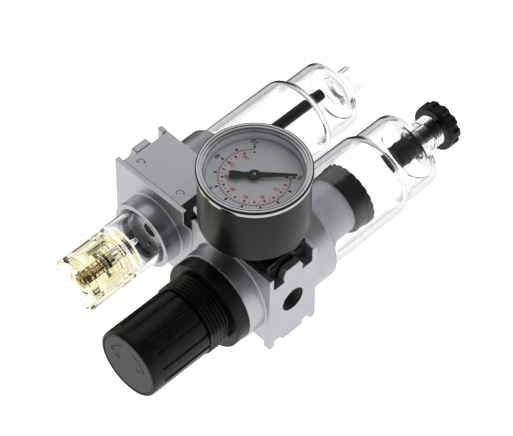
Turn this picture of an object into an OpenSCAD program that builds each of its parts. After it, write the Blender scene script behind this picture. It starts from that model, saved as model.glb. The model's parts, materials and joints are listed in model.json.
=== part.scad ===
// Two-piece compressed-air service unit: a filter-regulator with a gauge, and a lubricator.
// The frame's origin is the centre of the inlet port on the inlet face.
// +X runs from inlet to outlet, -Y is the front with the gauge, and +Z is the knob's end.

/* [Housings] */
// Length of each housing along the air line
module_w = 39; // [38.8:0.1:39.4]
// Half the depth of the end flanges, front to back
flange_y = 19.2; // [19:0.1:19.6]
// Half the height of the end flanges
flange_z = 11.4; // [11.2:0.1:11.8]
// Thickness of an end flange
flange_t = 3; // [2.8:0.1:3.2]
// Radius of the lower collar that takes a bowl
collar_r = 18.8; // [18.4:0.1:18.8]
// Lower end of the collar, below the port axis
collar_z = -22.8; // [-23.2:0.1:-22.4]
// Radius of a housing between its end flanges
body_r = 17.3; // [17.2:0.1:17.6]
// Radius of the air ports, at the thread's root
port_r = 4.864; // [4.7:0.002:4.9]
// Depth of the air ports
port_depth = 8; // [7.6:0.1:8.4]

/* [Regulator] */
// Radius of the boss under the bonnet
boss_r = 17.6; // [17.4:0.1:18]
// Top of the boss
boss_z = 19; // [18.8:0.1:19.2]
// Radius of the panel thread on the bonnet
panel_r = 14; // [13.8:0.1:14.2]
// Top of the panel thread
panel_z = 34; // [33.4:0.1:34]
// Outer radius of the adjusting knob
knob_r = 13.4; // [13.2:0.1:13.8]
// Lower edge of the knob
knob_z0 = 34.4; // [34.4:0.1:34.8]
// Upper end of the knob
knob_z1 = 60.7; // [60.4:0.1:61]
// Number of grip grooves around the knob
knob_grooves = 14; // [8:1:18]

/* [Gauge] */
// Radius of the bezel
bezel_r = 20.25; // [20:0.05:20.5]
// Front face of the bezel
gauge_front = -54.8; // [-55.2:0.1:-54.6]
// Back face of the gauge case
gauge_back = -28.4; // [-28.8:0.1:-28]
// Direction of the pointer at zero, from +X towards +Z
zero_angle = 225; // [220:1:235]

/* [Bowls] */
// Outer radius of a bowl's upper part
bowl_r = 16.8; // [16.6:0.1:17]
// Outer radius of the filter bowl's lower part
filter_low_r = 15.2; // [15:0.1:15.4]
// Outer radius of the oil bowl's lower part
oil_low_r = 13.7; // [13.5:0.1:14.2]
// Height of the step between a bowl's two parts
step_z = -62; // [-63:0.1:-61]
// Height of the inner floor of a bowl
floor_z = -79; // [-79.4:0.1:-78.8]
// Radius of the drain stud
stud_r = 6.2; // [6:0.1:6.4]
// Lower end of the drain stud
stud_z = -91.5; // [-91.8:0.1:-91.2]
// Outer radius of the drain knob
drain_r = 9.2; // [9:0.1:9.4]
// Lower end of the drain knob
drain_z = -97.6; // [-98:0.1:-97.2]
// Number of lobes on the drain knob
drain_lobes = 10; // [6:1:12]

/* [Lubricator top] */
// Radius of the boss under the sight dome
lub_boss_r = 13.3; // [13.2:0.1:13.8]
// Radius of the sight dome's glass
dome_r = 10.8; // [10.6:0.1:11]
// Outer radius of the drip cap
drip_r = 10.7; // [10.6:0.1:11]
// Lower edge of the drip cap
drip_z0 = 31.8; // [31.6:0.1:32]
// Upper edge of the drip cap
drip_z1 = 49.8; // [49.6:0.1:50.2]
// Number of ribs around the drip cap
drip_ribs = 24; // [16:1:30]

/* [Hidden] */
$fn = 64;
e = 0.05;                          // assembly gap between fixed neighbours
run = 0.05;                        // radial gap of a running fit
free = 0.35;                       // gap between pieces that move past each other
fx = module_w / 2;                 // filter-regulator axis
lx = module_w * 1.5 - 1;           // lubricator axis
total_w = module_w * 2;
cover_x0 = module_w + 7.4;         // near edge of the lubricator's cover
seat_z = 14;                       // diaphragm ledge
recess_r = 15.6;                   // bowl recess in a collar
recess_z = -12.2;                  // roof of the bowl recess
front_y = -13.2;                   // floor of the front notches
lip_z = 9.4;                       // inner face of the front ears and lips
back_y = 16.4;                     // floor of the back notches
screw_z = 7.2;                     // height of the joint screws, above and below the port axis
plate_y = -22.3;                   // front of the gauge plate
neck_r = 10.8;                     // bonnet neck inside the knob
neck_z = 51;                       // top of the bonnet neck
nut_z = 38.5;                      // underside of the spring nut at rest
disc_z = 16.2;                     // top of the diaphragm disc
oil_x = lx + 2;                    // pickup tube's place
oil_y = -1;

// ---------- shared shapes ----------

// A plain rod between two heights
module rod(r, z0, z1) {
    translate([0, 0, z0]) cylinder(r = r, h = z1 - z0);
}

// A tube between two heights
module tube(ro, ri, z0, z1) {
    difference() {
        rod(ro, z0, z1);
        rod(ri, z0 - 1, z1 + 1);
    }
}

// A rod along X, from one place to another
module rod_x(r, x0, x1) {
    translate([x0, 0, 0]) rotate([0, 90, 0]) cylinder(r = r, h = x1 - x0);
}

// A rod along Y, from the lower to the higher place
module rod_y(r, y0, y1) {
    translate([0, y1, 0]) rotate([90, 0, 0]) cylinder(r = r, h = y1 - y0);
}

// A tube along Y
module tube_y(ro, ri, y0, y1) {
    difference() {
        rod_y(ro, y0, y1);
        rod_y(ri, y0 - 1, y1 + 1);
    }
}

// A rubber ring lying flat
module ring(r, w, z) {
    translate([0, 0, z]) rotate_extrude() translate([r, 0]) circle(r = w, $fn = 24);
}

// A block between two corners
module block(a, b) {
    translate(a) cube(b - a);
}

// A wound spring between two heights, with half a flat turn at each end
module coil(r, wire, z0, z1, turns, sides = 8, per_turn = 24) {
    steps = turns * per_turn;
    rise = z1 - z0 - 2 * wire;
    pts = [for (i = [0:steps]) let (
            a = 360 * i / per_turn,
            f = min(1, max(0, (i / per_turn - 0.5) / (turns - 1))),
            z = z0 + wire + rise * f)
        for (j = [0:sides - 1]) let (b = 360 * j / sides)
        [(r + wire * cos(b)) * cos(a), (r + wire * cos(b)) * sin(a), z + wire * sin(b)]];
    skin = [for (i = [0:steps - 1]) for (j = [0:sides - 1])
        [i * sides + j, i * sides + (j + 1) % sides,
            (i + 1) * sides + (j + 1) % sides, (i + 1) * sides + j]];
    first = [for (j = [sides - 1:-1:0]) j];
    last = [for (j = [0:sides - 1]) steps * sides + j];
    polyhedron(points = pts, faces = concat(skin, [first, last]), convexity = 8);
}

// ---------- housings ----------

// Outline of an end flange: ears at the corners and a dovetailed tab on each edge
module flange_outline() {
    h = flange_z;
    d = flange_y;
    half = [[-d, h], [-d, lip_z], [front_y, lip_z], [front_y, 4.2], [-15.2, 4.9],
        [-d + 0.6, 3.3]];
    back = [[d - 0.3, 4.2], [back_y + 1.8, 5.2], [back_y, 5.2], [back_y, 9], [d, 9], [d, h]];
    polygon(concat(
        [for (i = [0:5]) half[i]],
        [for (i = [5:-1:0]) [half[i][0], -half[i][1]]],
        [for (i = [5:-1:0]) [back[i][0], -back[i][1]]],
        [for (i = [0:5]) back[i]]));
}

// An end flange standing across the air line
module flange(x0) {
    translate([x0, 0, 0]) rotate([90, 0, 90]) linear_extrude(flange_t) flange_outline();
}

// The outside of a housing that starts at x0, with lips along the front at the given heights
module housing(x0, axis, lips, top_r, top_z) {
    flange(x0);
    flange(x0 + module_w - flange_t);
    block([x0 + 1, front_y, -flange_z], [x0 + module_w - 1, back_y, flange_z]);
    for (z = lips)
        block([x0 + 1, -flange_y, z], [x0 + module_w - 1, front_y + 1, z + flange_z - lip_z]);
    translate([axis, 0, 0]) {
        rod(collar_r, collar_z, -flange_z);
        rod(body_r, -flange_z - 1, flange_z);
        rod(top_r, 0, top_z);
    }
}

// Room for the clamp, where the lubricator's first flange has no front ears
module clamp_room() {
    for (z = [-flange_z - 1, lip_z - 0.1])
        block([module_w - 1, -flange_y - 1, z],
            [module_w + flange_t + 1, front_y, z + flange_z - lip_z + 1.1]);
}

// Clearance for the two joint screws, shared between the housings
module screw_holes(r) {
    for (z = [-screw_z, screw_z])
        translate([module_w, 0, z]) rod_y(r, -19, -5);
}

module fr_body() {
    color("silver") difference() {
        housing(0, fx, [-flange_z, lip_z], boss_r, boss_z);
        rod_x(port_r, -1, port_depth);
        rod_x(port_r, module_w - port_depth, module_w + 1);
        rod_x(3.6, module_w - port_depth - 2, module_w);
        translate([port_depth, 0, 0]) rod(1.8, recess_z - 1, 0);
        translate([module_w - port_depth, 0, 0]) rod(1.8, 0, 7);
        translate([fx, 0, 0]) {
            rod(recess_r, collar_z - 1, recess_z);
            rod(9.65, recess_z - 1, -5);
            rod(6, -6, 3);
            rod(4.6, 2, 8);
            rod(12.5, 6.5, seat_z + 1);
            rod(15.2, seat_z, boss_z + 1);
            rod_y(4.85, -boss_r - 1, -11);
            translate([0, -11.8, 0]) rod(1, 0, 7);
        }
        screw_holes(1.35);
        translate([module_w, 0, 0]) rotate([0, -90, 0]) tube(7.2, 5.4, -1, 1.5);
    }
}

// Black plate that carries the gauge, let into the front between the flanges
module gauge_plate() {
    color("#1b1b1c") difference() {
        block([flange_t + 0.6, plate_y, e - lip_z],
            [module_w - flange_t - 0.6, front_y - e, lip_z - e]);
        translate([fx, 0, 0]) rod(boss_r + e, -20, 20);
        translate([fx, 0, 0]) rod_y(5.4, plate_y - 1, 0);
        for (z = [-6, 6])
            block([0, -20.6, z - 1.9], [flange_t + 1.8, -19.5, z + 1.9]);
    }
}

// ---------- regulator ----------

module bonnet() {
    color("#161617") translate([fx, 0, 0]) difference() {
        union() {
            rod(15.1, seat_z + 1.1, boss_z + 0.5);
            rod(17.2, boss_z + e, boss_z + 5.6);
            rod(panel_r, boss_z + 5, panel_z);
            rod(neck_r, panel_z - 1, neck_z);
        }
        rod(12.9, seat_z, 16.8);
        rod(9.2, 16, 47.5);
        rod(4 + run, 47, neck_z + 1);
    }
}

module diaphragm() {
    color("#2b2b2b") translate([fx, 0, 0]) tube(15, 9.35, seat_z + e, seat_z + 1.05);
}

module diaphragm_disc() {
    color("#b9bcc0") translate([fx, 0, 0]) {
        rod(9, disc_z - 1.6, disc_z);
        rod(5.2, disc_z - 1, disc_z + 1.4);
    }
}

// Stem and poppet, which closes upwards against the seat
module valve_stem() {
    color("#c9a24b") translate([fx, 0, 0]) {
        rod(1.5, -9, disc_z - 1.65);
        rod(4, 0.6, 2.35);
    }
}

module valve_seat() {
    color("#c9a24b") translate([fx, 0, 0]) {
        tube(4.55, 2.6, 3.2, 6.5);
        tube(3.3, 2.6, 2.4, 3.3);
    }
}

module valve_spring() {
    color("#c4c7ca") translate([fx, 0, 0]) coil(2.9, 0.35, -4.95, 0.55, 5, 6, 20);
}

module setting_spring() {
    color("#c4c7ca") translate([fx, 0, 0]) coil(6.6, 0.95, disc_z + 0.05, nut_z - 0.05, 6);
}

module spring_nut() {
    color("#c9a24b") translate([fx, 0, 0]) difference() {
        union() {
            rod(9.2 - free, nut_z, nut_z + 3);
            rod(6, nut_z + 2, nut_z + 5);
        }
        rod(3 + run, nut_z - 1, nut_z + 6);
    }
}

// Adjusting spindle: a threaded rod, a thrust collar, a journal and a hexagon for the knob
module spindle() {
    color("#b0b3b6") translate([fx, 0, 0]) {
        rod(3, 24, 46);
        rod(7, 45.4, 47.4);
        rod(4, 47, 51.6);
        translate([0, 0, 51.5]) cylinder(r = 4.6, h = 5.5, $fn = 6);
    }
}

module knob() {
    color("#141415") translate([fx, 0, 0]) difference() {
        union() {
            rod(knob_r, knob_z0, knob_z1 - 1.4);
            translate([0, 0, knob_z1 - 1.4]) cylinder(r1 = knob_r, r2 = knob_r - 1, h = 1.4);
        }
        rod(neck_r + free, knob_z0 - 1, 52.4);
        translate([0, 0, 52]) cylinder(r = 4.75, h = 5.6, $fn = 6);
        rod(12, knob_z1 - 1.4, knob_z1 + 1);
        for (i = [0:knob_grooves - 1])
            rotate([0, 0, (i + 0.86) * 360 / knob_grooves])
                block([knob_r - 0.5, -0.7, knob_z0 - 1], [knob_r + 1, 0.7, knob_z1 - 5.1]);
    }
}

// Grey disc in the knob's end
module knob_cap() {
    color("#5a5a5a") translate([fx, 0, 0]) rod(12 - e, knob_z1 - 1.35, knob_z1 - 0.1);
}

// ---------- filter ----------

// Grey neck that holds the element, with the valve guide in its top
module filter_neck() {
    color("#a9abae") translate([fx, 0, 0]) difference() {
        union() {
            rod(9.6, recess_z - 1, -5 - e);
            rod(10.7, -40, recess_z - e);
        }
        rod(8.8, -41, -16);
        rod(1.5 + run, -20, 0);
        for (a = [0:60:300])
            rotate([0, 0, a]) translate([5.6, 0, 0]) rod(1.6, -20, 0);
    }
}

// Black ring of slanted vanes that spins the air
module louvre_ring() {
    color("#1d1d1e") translate([fx, 0, 0]) {
        difference() {
            union() {
                rod(12.2, -45, -40 - e);
                rod(12.5, -47.7, -45);
            }
            rod(8.8, -50, -39);
            for (i = [0:23])
                rotate([0, 0, i * 15]) block([11, -0.5, -49], [13, 0.5, -45.4]);
        }
    }
}

module filter_element() {
    color("white") translate([fx, 0, 0]) tube(8.2, 5.4, -42, -17);
}

// Baffle that clamps the element and keeps the lower bowl still
module filter_baffle() {
    color("#1d1d1e") translate([fx, 0, 0]) {
        rod(8.7, -47.6, -42.1);
        rod(3.2, -52, -47);
    }
}

// ---------- bowls ----------

// Outline of a bowl in section: outer wall down, round the floor, and the cavity back up
module bowl_section(low_r, stub_r, stub_z, bore_r) {
    wall = 2.2;
    polygon([
        [12.8, recess_z - 0.3], [13.9, recess_z - 0.3], [13.9, -14.4], [15.3, -14.4],
        [15.3, collar_z - 0.2], [bowl_r, collar_z - 0.2],
        [bowl_r, step_z + 1.4], [low_r, step_z - 1], [low_r, floor_z + 1.6],
        [low_r - 1.1, floor_z - 2.4], [low_r - 4, floor_z - 5], [stub_r, floor_z - 6.4],
        [stub_r, stub_z], [bore_r, stub_z], [bore_r, floor_z],
        [low_r - wall - 2, floor_z], [low_r - wall, floor_z + 2],
        [low_r - wall, step_z - 1], [bowl_r - wall, step_z + 1.4],
        [bowl_r - wall, collar_z - 3], [12.8, collar_z - 1]]);
}

module filter_bowl() {
    color("#dfe6ea", 0.4) translate([fx, 0, 0])
        rotate_extrude() bowl_section(filter_low_r, stud_r, stud_z, 2.6);
}

module oil_bowl() {
    color("#dfe6ea", 0.4) translate([lx, 0, 0])
        rotate_extrude() bowl_section(oil_low_r, 5.2, stud_z + 2, 0);
}

module filter_bowl_oring() {
    color("#202020") translate([fx, 0, 0]) ring(14.75, 0.8, -13.5);
}

module oil_bowl_oring() {
    color("#202020") translate([lx, 0, 0]) ring(14.75, 0.8, -13.5);
}

// ---------- drain ----------

module drain_insert() {
    color("#1a1a1a") translate([fx, 0, 0]) {
        tube(4.4, 2.6, floor_z + e, -70);
        tube(4.7, 4.35, -75.4, -74.8);
    }
}

// Hollow stem: the condensate leaves through it and through the knob
module drain_stem() {
    color("#141415") translate([fx, 0, 0]) difference() {
        rod(2.6 - run, -96, -71);
        rod(1.2, -97, -72.5);
        tube(3, 1.7, -76.45, -75.55);
        translate([0, 0, -73.6]) rotate([90, 0, 0]) cylinder(r = 0.5, h = 6, center = true);
    }
}

module drain_seal() {
    color("#202020") translate([fx, 0, 0]) ring(2.13, 0.42, -76);
}

module drain_knob() {
    color("#141415") translate([fx, 0, 0]) difference() {
        rod(drain_r, drain_z, stud_z - 0.3);
        rod(2.6 - run, -96, stud_z);
        rod(1.6, drain_z - 1, -95);
        for (i = [0:drain_lobes - 1])
            rotate([0, 0, (i + 0.78) * 360 / drain_lobes])
                translate([drain_r + 0.9, 0, 0]) rod(1.7, drain_z - 1, stud_z - 2.2);
    }
}

// ---------- gauge ----------

module gauge_stem() {
    color("#c9a24b") translate([fx, 0, 0]) {
        difference() {
            union() {
                rod_y(4.8, -23, -11.2);
                rod_y(5.3, gauge_back + 1.2, -22.5);
                rod_y(6, gauge_back - 4, gauge_back + 1.5);
                rotate([0, 60, 0]) block([3, -34.8, -2.2], [14, gauge_back - 2.6, 2.2]);
                rotate([0, 60, 0]) block([10.4, -37.2, -2.2], [14, -34, 2.2]);
            }
            rod_y(1.2, gauge_back - 2, -11);
        }
    }
}

module gauge_case() {
    color("#161616") translate([fx, 0, 0]) difference() {
        union() {
            rod_y(19.7, gauge_front + 2.45, gauge_back);
            rod_y(8.5, gauge_back - 1, gauge_back + 3.4);
        }
        rod_y(18.2, gauge_front, gauge_back - 2.2);
        rod_y(6 + e, gauge_back - 5, gauge_back + 1.5 + e);
        rod_y(5.3 + e, gauge_back, gauge_back + 4);
    }
}

module gauge_bezel() {
    color("#d7d9dc") translate([fx, 0, 0]) difference() {
        union() {
            rod_y(bezel_r, gauge_front + 0.7, gauge_front + 2.4);
            rod_y(bezel_r - 0.8, gauge_front + 0.2, gauge_front + 1);
            rod_y(bezel_r - 1.8, gauge_front, gauge_front + 1);
        }
        rod_y(18.2, gauge_front + 1.3, gauge_front + 3);
        rod_y(17.3, gauge_front - 1, gauge_front + 3);
    }
}

module gauge_window() {
    color("#eef3f5", 0.35) translate([fx, 0, 0])
        rod_y(18.15, gauge_front + 1.35, gauge_front + 2.35);
}

module gauge_dial() {
    color("#c9cbce") translate([fx, 0, 0]) tube_y(18.15, 1.2, -49.4, -48.8);
}

// Pointer with a tapering tip and a wide tail
module gauge_pointer() {
    color("#101010") translate([fx, -50.7, 0]) rotate([90, 0, 0]) rotate([0, 0, zero_angle])
        difference() {
            union() {
                cylinder(r = 2.1, h = 0.5, center = true);
                translate([0, 0, -0.25]) linear_extrude(0.5)
                    polygon([[-6.5, -1.9], [0, -1.1], [14.6, -0.18], [14.6, 0.18], [0, 1.1],
                        [-6.5, 1.9]]);
            }
            cylinder(r = 0.7, h = 2, center = true);
        }
}

module pointer_shaft() {
    color("#c4c7ca") translate([fx, 0, 0]) {
        rod_y(0.7, -51.2, -35.4);
        rod_y(1.15, -51.35, -50.98);
    }
}

// C-shaped pressure tube with its closed end free
module bourdon_tube() {
    color("#c9a24b") translate([fx, -40, 0]) rotate([90, 0, 0])
        rotate([0, 0, -60]) rotate_extrude(angle = 270, $fn = 72)
            translate([13, 0]) square([1.2, 5.5], center = true);
}

// Movement plates and pillars that carry the pointer's shaft
module movement() {
    color("#c9a24b") translate([fx, 0, 0]) difference() {
        union() {
            for (y = [-47.8, -36])
                block([-4.5, y, -8.6], [4.5, y + 1, 8.6]);
            for (z = [-7.3, 7.3])
                translate([0, 0, z]) rod_y(1, -47.6, gauge_back - 2.2 - e);
        }
        rod_y(0.7 + run, -52, -34);
    }
}

// ---------- joint between the housings ----------

module joint_clamp() {
    color("#141415") difference() {
        union() {
            block([module_w - flange_t + 0.1, -20.2, e - lip_z],
                [module_w + flange_t - 0.1, front_y - e, lip_z - e]);
            block([module_w + 0.1, -20.2, -11.3],
                [module_w + flange_t - 0.1, front_y - e, 11.3]);
            block([module_w + 1, -18.9, 0.1 - flange_z], [cover_x0 - e, front_y - e, lip_z - e]);
        }
        rotate([90, 0, 90]) linear_extrude(module_w + flange_t)
            polygon([[-12, -4.3], [-15.2, -5], [-18.7, -3.4],
                [-18.7, 3.4], [-15.2, 5], [-12, 4.3]]);
        translate([lx, 0, 0]) rod(body_r + e, -20, 20);
        for (z = [-screw_z, screw_z])
            translate([module_w, 0, z]) rod_y(1.35, -22, -10);
    }
}

module joint_oring() {
    color("#202020") translate([module_w, 0, 0]) rotate([0, -90, 0]) ring(6.3, 0.7, 0.72);
}

module joint_screws() {
    color("#c4c7ca") for (z = [-screw_z, screw_z])
        translate([module_w, 0, z]) difference() {
            union() {
                rod_y(1.3, -20.5, -6);
                rod_y(2.3, -21.6, -20.2 - e);
            }
            block([-3, -22, -0.35], [3, -21, 0.35]);
        }
}

// ---------- lubricator ----------

module lub_body() {
    color("silver") difference() {
        housing(module_w, lx, [lip_z], lub_boss_r, 18.6);
        rod_x(4.4, module_w - 1, total_w);
        rod_x(port_r, total_w - port_depth, total_w + 1);
        translate([lx, 0, 0]) {
            rod(recess_r, collar_z - 1, recess_z);
            rod(11.3, 13, 20);
            rod(3.2, 0, 14);
            translate([0, 8, 0]) rod(1.2, -8, 14);
            translate([1, 0, -7.5]) rod_y(1.1, -1, 8);
        }
        translate([oil_x, oil_y, 0]) rod(2.15, collar_z - 1, -6);
        screw_holes(1.35);
        clamp_room();
    }
}

// Flat cover on the front, up to the lip, with two half-round pockets
module lub_cover() {
    color("#c3c4c9") difference() {
        block([cover_x0, -18.9, 0.1 - flange_z], [total_w - 2.2, front_y - e, lip_z - e]);
        block([total_w - flange_t - 0.4, -20, -flange_z], [total_w, front_y + 1, 5.3]);
        translate([lx, 0, 0]) rod(body_r + e, -20, 20);
        for (x = [cover_x0 + 4.1, total_w - 7.4])
            translate([x, 0, 5.8]) rotate([0, 142, 0]) intersection() {
                rod_y(1.7, -20, -18.4);
                block([-2, -21, 0], [2, -18, 2]);
            }
    }
}

// Clear dome: the drops are seen falling from the nozzle inside it
module sight_dome() {
    color("#e8eef0", 0.4) translate([lx, 0, 0]) difference() {
        union() {
            rod(11.2, 13.4, 19);
            rod(dome_r, 18, 29);
            translate([0, 0, 29]) cylinder(r1 = dome_r, r2 = dome_r - 1, h = 1);
            rod(5.6, 29.5, 38);
        }
        difference() {
            rod(9.2, 12, 28.2);
            rod(3.5, 19.5, 30);
        }
        tube(13, 10.1, 15.2, 16.9);
        rod(1.5 + run, 12, 39);
        rod(3, 35.4, 39);
    }
}

module dome_oring() {
    color("#202020") translate([lx, 0, 0]) ring(10.7, 0.52, 16.05);
}

module drip_cap() {
    color("#e6d98a", 0.6) translate([lx, 0, 0]) difference() {
        union() {
            rod(drip_r - 0.8, drip_z0, drip_z1);
            for (i = [0:drip_ribs - 1])
                rotate([0, 0, i * 360 / drip_ribs])
                    block([drip_r - 1.4, -0.6, drip_z0], [drip_r, 0.6, drip_z1]);
        }
        rod(5.6 + free, drip_z0 - 1, 40.5);
        difference() {
            rod(8.9, drip_z0 - 1, 44);
            rod(7.6, drip_z0 - 2, 45);
        }
        difference() {
            rod(9.2, 46.4, drip_z1 + 1);
            rod(5, 46, 48.2);
        }
        rod(2.9, 43, drip_z1 + 1);
        rod(1.7, 40, 44);
    }
}

// Metering screw with a cross slot in its head and a needle point
module needle_screw() {
    color("#c9a24b") translate([lx, 0, 0]) difference() {
        union() {
            rod(2.85, 43.05, 47.6);
            rod(1.5, 33, 43.1);
            translate([0, 0, 30.5]) cylinder(r1 = 0.3, r2 = 1.5, h = 2.5);
        }
        for (a = [0, 90])
            rotate([0, 0, a]) block([-4, -0.4, 46.5], [4, 0.4, 48]);
    }
}

module needle_seal() {
    color("#202020") translate([lx, 0, 0]) ring(2.26, 0.7, 36.3);
}

// Rubber tongue that bends with the air flow
module flow_flap() {
    color("#2b2b2b") translate([lx, 0, 0]) {
        rod_x(4.35, -3.4, -2.4);
        block([-2.5, -1.8, -0.5], [1, 1.8, 0.5]);
    }
}

module check_ball() {
    color("#c4c7ca") translate([oil_x, oil_y, -9.2]) sphere(r = 1.4);
}

module pickup_tube() {
    color("#1c1c1c") translate([oil_x, oil_y, 0]) tube(2.1, 1.2, -74, -10);
}

fr_body();
gauge_plate();
bonnet();
diaphragm();
diaphragm_disc();
valve_stem();
valve_seat();
valve_spring();
setting_spring();
spring_nut();
spindle();
knob();
knob_cap();
filter_neck();
louvre_ring();
filter_element();
filter_baffle();
filter_bowl_oring();
filter_bowl();
drain_insert();
drain_stem();
drain_seal();
drain_knob();
gauge_stem();
gauge_case();
gauge_bezel();
gauge_window();
gauge_dial();
gauge_pointer();
pointer_shaft();
bourdon_tube();
movement();
joint_clamp();
joint_oring();
joint_screws();
lub_body();
lub_cover();
sight_dome();
dome_oring();
drip_cap();
needle_screw();
needle_seal();
flow_flap();
check_ball();
pickup_tube();
oil_bowl_oring();
oil_bowl();
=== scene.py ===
import json
import math
from types import SimpleNamespace

import bmesh
import bpy
from mathutils import Matrix, Vector

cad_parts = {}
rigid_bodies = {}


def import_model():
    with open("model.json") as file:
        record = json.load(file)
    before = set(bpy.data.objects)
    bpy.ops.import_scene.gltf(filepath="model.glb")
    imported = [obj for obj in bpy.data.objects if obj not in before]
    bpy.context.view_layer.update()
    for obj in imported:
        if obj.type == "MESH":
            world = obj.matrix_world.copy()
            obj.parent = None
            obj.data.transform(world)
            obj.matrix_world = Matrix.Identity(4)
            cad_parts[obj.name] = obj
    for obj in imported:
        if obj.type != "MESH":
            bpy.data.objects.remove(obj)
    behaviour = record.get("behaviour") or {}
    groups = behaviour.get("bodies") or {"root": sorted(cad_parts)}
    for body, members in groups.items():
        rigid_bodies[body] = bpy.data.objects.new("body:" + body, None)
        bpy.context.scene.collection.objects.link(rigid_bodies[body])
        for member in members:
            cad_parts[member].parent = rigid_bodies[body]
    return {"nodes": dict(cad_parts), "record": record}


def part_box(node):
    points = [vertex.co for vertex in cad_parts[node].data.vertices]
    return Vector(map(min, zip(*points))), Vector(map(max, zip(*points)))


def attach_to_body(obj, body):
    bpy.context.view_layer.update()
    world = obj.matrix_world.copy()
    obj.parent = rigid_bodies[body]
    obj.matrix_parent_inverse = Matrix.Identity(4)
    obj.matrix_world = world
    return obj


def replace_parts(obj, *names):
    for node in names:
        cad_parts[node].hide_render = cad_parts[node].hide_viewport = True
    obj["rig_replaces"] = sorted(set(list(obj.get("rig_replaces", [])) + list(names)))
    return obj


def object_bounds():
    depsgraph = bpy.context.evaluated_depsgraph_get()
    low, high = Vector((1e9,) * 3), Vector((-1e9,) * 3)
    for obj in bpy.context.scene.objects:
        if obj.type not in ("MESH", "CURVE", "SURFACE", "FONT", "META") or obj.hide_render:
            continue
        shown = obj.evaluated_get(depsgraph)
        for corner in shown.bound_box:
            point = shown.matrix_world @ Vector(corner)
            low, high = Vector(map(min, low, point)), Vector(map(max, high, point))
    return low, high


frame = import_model()
cad_lo, cad_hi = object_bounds()

# ---------- the frame's facts, in millimetres ----------

MM = 0.001
WELD = 0.002 * MM        # points closer than this are one point
SHARP = 38               # edges over this many degrees stay sharp
NODES = frame["nodes"]
RECORD = frame["record"]
BODY = {n: b for b, names in RECORD["behaviour"]["bodies"].items() for n in names}
SLOT = {s["node"]: s["material_slot"] for s in RECORD["subparts"]}


def span(node):
    """A CAD node's box in millimetres, with its middle across and its half width."""
    lo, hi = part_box(node)
    lo, hi = lo / MM, hi / MM
    mid = (lo + hi) / 2
    return SimpleNamespace(x0=lo.x, x1=hi.x, y0=lo.y, y1=hi.y, z0=lo.z, z1=hi.z,
                           cx=mid.x, r=(hi.x - lo.x) / 2)


KNOB = span("knob")
CAP = span("knob_cap")
BONNET = span("bonnet")
CASE = span("gauge_case")
BEZEL = span("gauge_bezel")
DIAL = span("gauge_dial")
DRIP = span("drip_cap")
DOME = span("sight_dome")
FILTER_BOWL = span("filter_bowl")
OIL_BOWL = span("oil_bowl")
DRAIN = span("drain_knob")
FR = span("fr_body")
LUB = span("lub_body")
FX = KNOB.cx
LX = DRIP.cx
WALL = 2.2               # thickness of a bowl's wall
STEP_Z = -62.0           # height of the step between a bowl's two parts
FLOOR_Z = -79.0          # height of a bowl's inner floor


# ---------- mesh helpers ----------

def rounded(corners, steps=4):
    """An outline from (r, h, radius) corners; a corner with a radius becomes a short curve."""
    points = []
    for i, corner in enumerate(corners):
        here = Vector(corner[:2])
        size = corner[2] if len(corner) > 2 else 0
        if not size:
            points.append(here)
            continue
        back = Vector(corners[i - 1][:2]) - here
        on = Vector(corners[(i + 1) % len(corners)][:2]) - here
        a = here + back.normalized() * min(size, back.length / 2)
        b = here + on.normalized() * min(size, on.length / 2)
        for k in range(steps + 1):
            t = k / steps
            points.append(a * (1 - t) ** 2 + here * 2 * t * (1 - t) + b * t * t)
    return [(p.x, p.y) for p in points]


def column(r, h0, h1, step):
    """Points up a straight wall, close enough together to carry a thread."""
    count = max(1, round(abs(h1 - h0) / step))
    return [(r, h0 + (h1 - h0) * i / count) for i in range(count + 1)]


def new_object(name, data):
    """A new object in the scene for a mesh, a curve, a lamp or a camera."""
    obj = bpy.data.objects.new(name, data)
    bpy.context.scene.collection.objects.link(obj)
    return obj


def to_mesh(bm, name):
    """The mesh of a bmesh, which is then let go."""
    mesh = bpy.data.meshes.new(name)
    bm.to_mesh(mesh)
    bm.free()
    return mesh


def smoothed(mesh, sharp):
    """Smooth shading, with the edges over `sharp` degrees kept sharp."""
    for face in mesh.polygons:
        face.use_smooth = True
    mesh.set_sharp_from_angle(angle=math.radians(sharp))
    return mesh


def shaded(bm, name, sharp):
    """Welds a bmesh, turns its faces outwards and makes it a smooth object with sharp edges."""
    bmesh.ops.remove_doubles(bm, verts=bm.verts, dist=WELD)
    bmesh.ops.dissolve_degenerate(bm, edges=bm.edges, dist=WELD / 4)
    bmesh.ops.recalc_face_normals(bm, faces=bm.faces)
    return new_object(name, smoothed(to_mesh(bm, name), sharp))


def lathe(name, outline, axis, at, segments=96, relief=None, closed=True, sharp=SHARP):
    """A solid of revolution round the X, Y or Z axis through `at`."""
    bm = bmesh.new()
    rings = []
    for r, h in outline:
        ring = []
        for j in range(segments):
            a = math.tau * j / segments
            rr = relief(a, r, h) if relief and r > 0.01 else r
            u, v = rr * math.cos(a), rr * math.sin(a)
            place = {"x": (h, at[1] + u, at[2] + v),
                     "y": (at[0] + u, h, at[2] + v),
                     "z": (at[0] + u, at[1] + v, h)}[axis]
            ring.append(bm.verts.new(Vector(place) * MM))
        rings.append(ring)
    last = len(rings) if closed else len(rings) - 1
    for i in range(last):
        low, high = rings[i], rings[(i + 1) % len(rings)]
        for j in range(segments):
            k = (j + 1) % segments
            bm.faces.new((low[j], low[k], high[k], high[j]))
    return shaded(bm, name, sharp)


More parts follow.
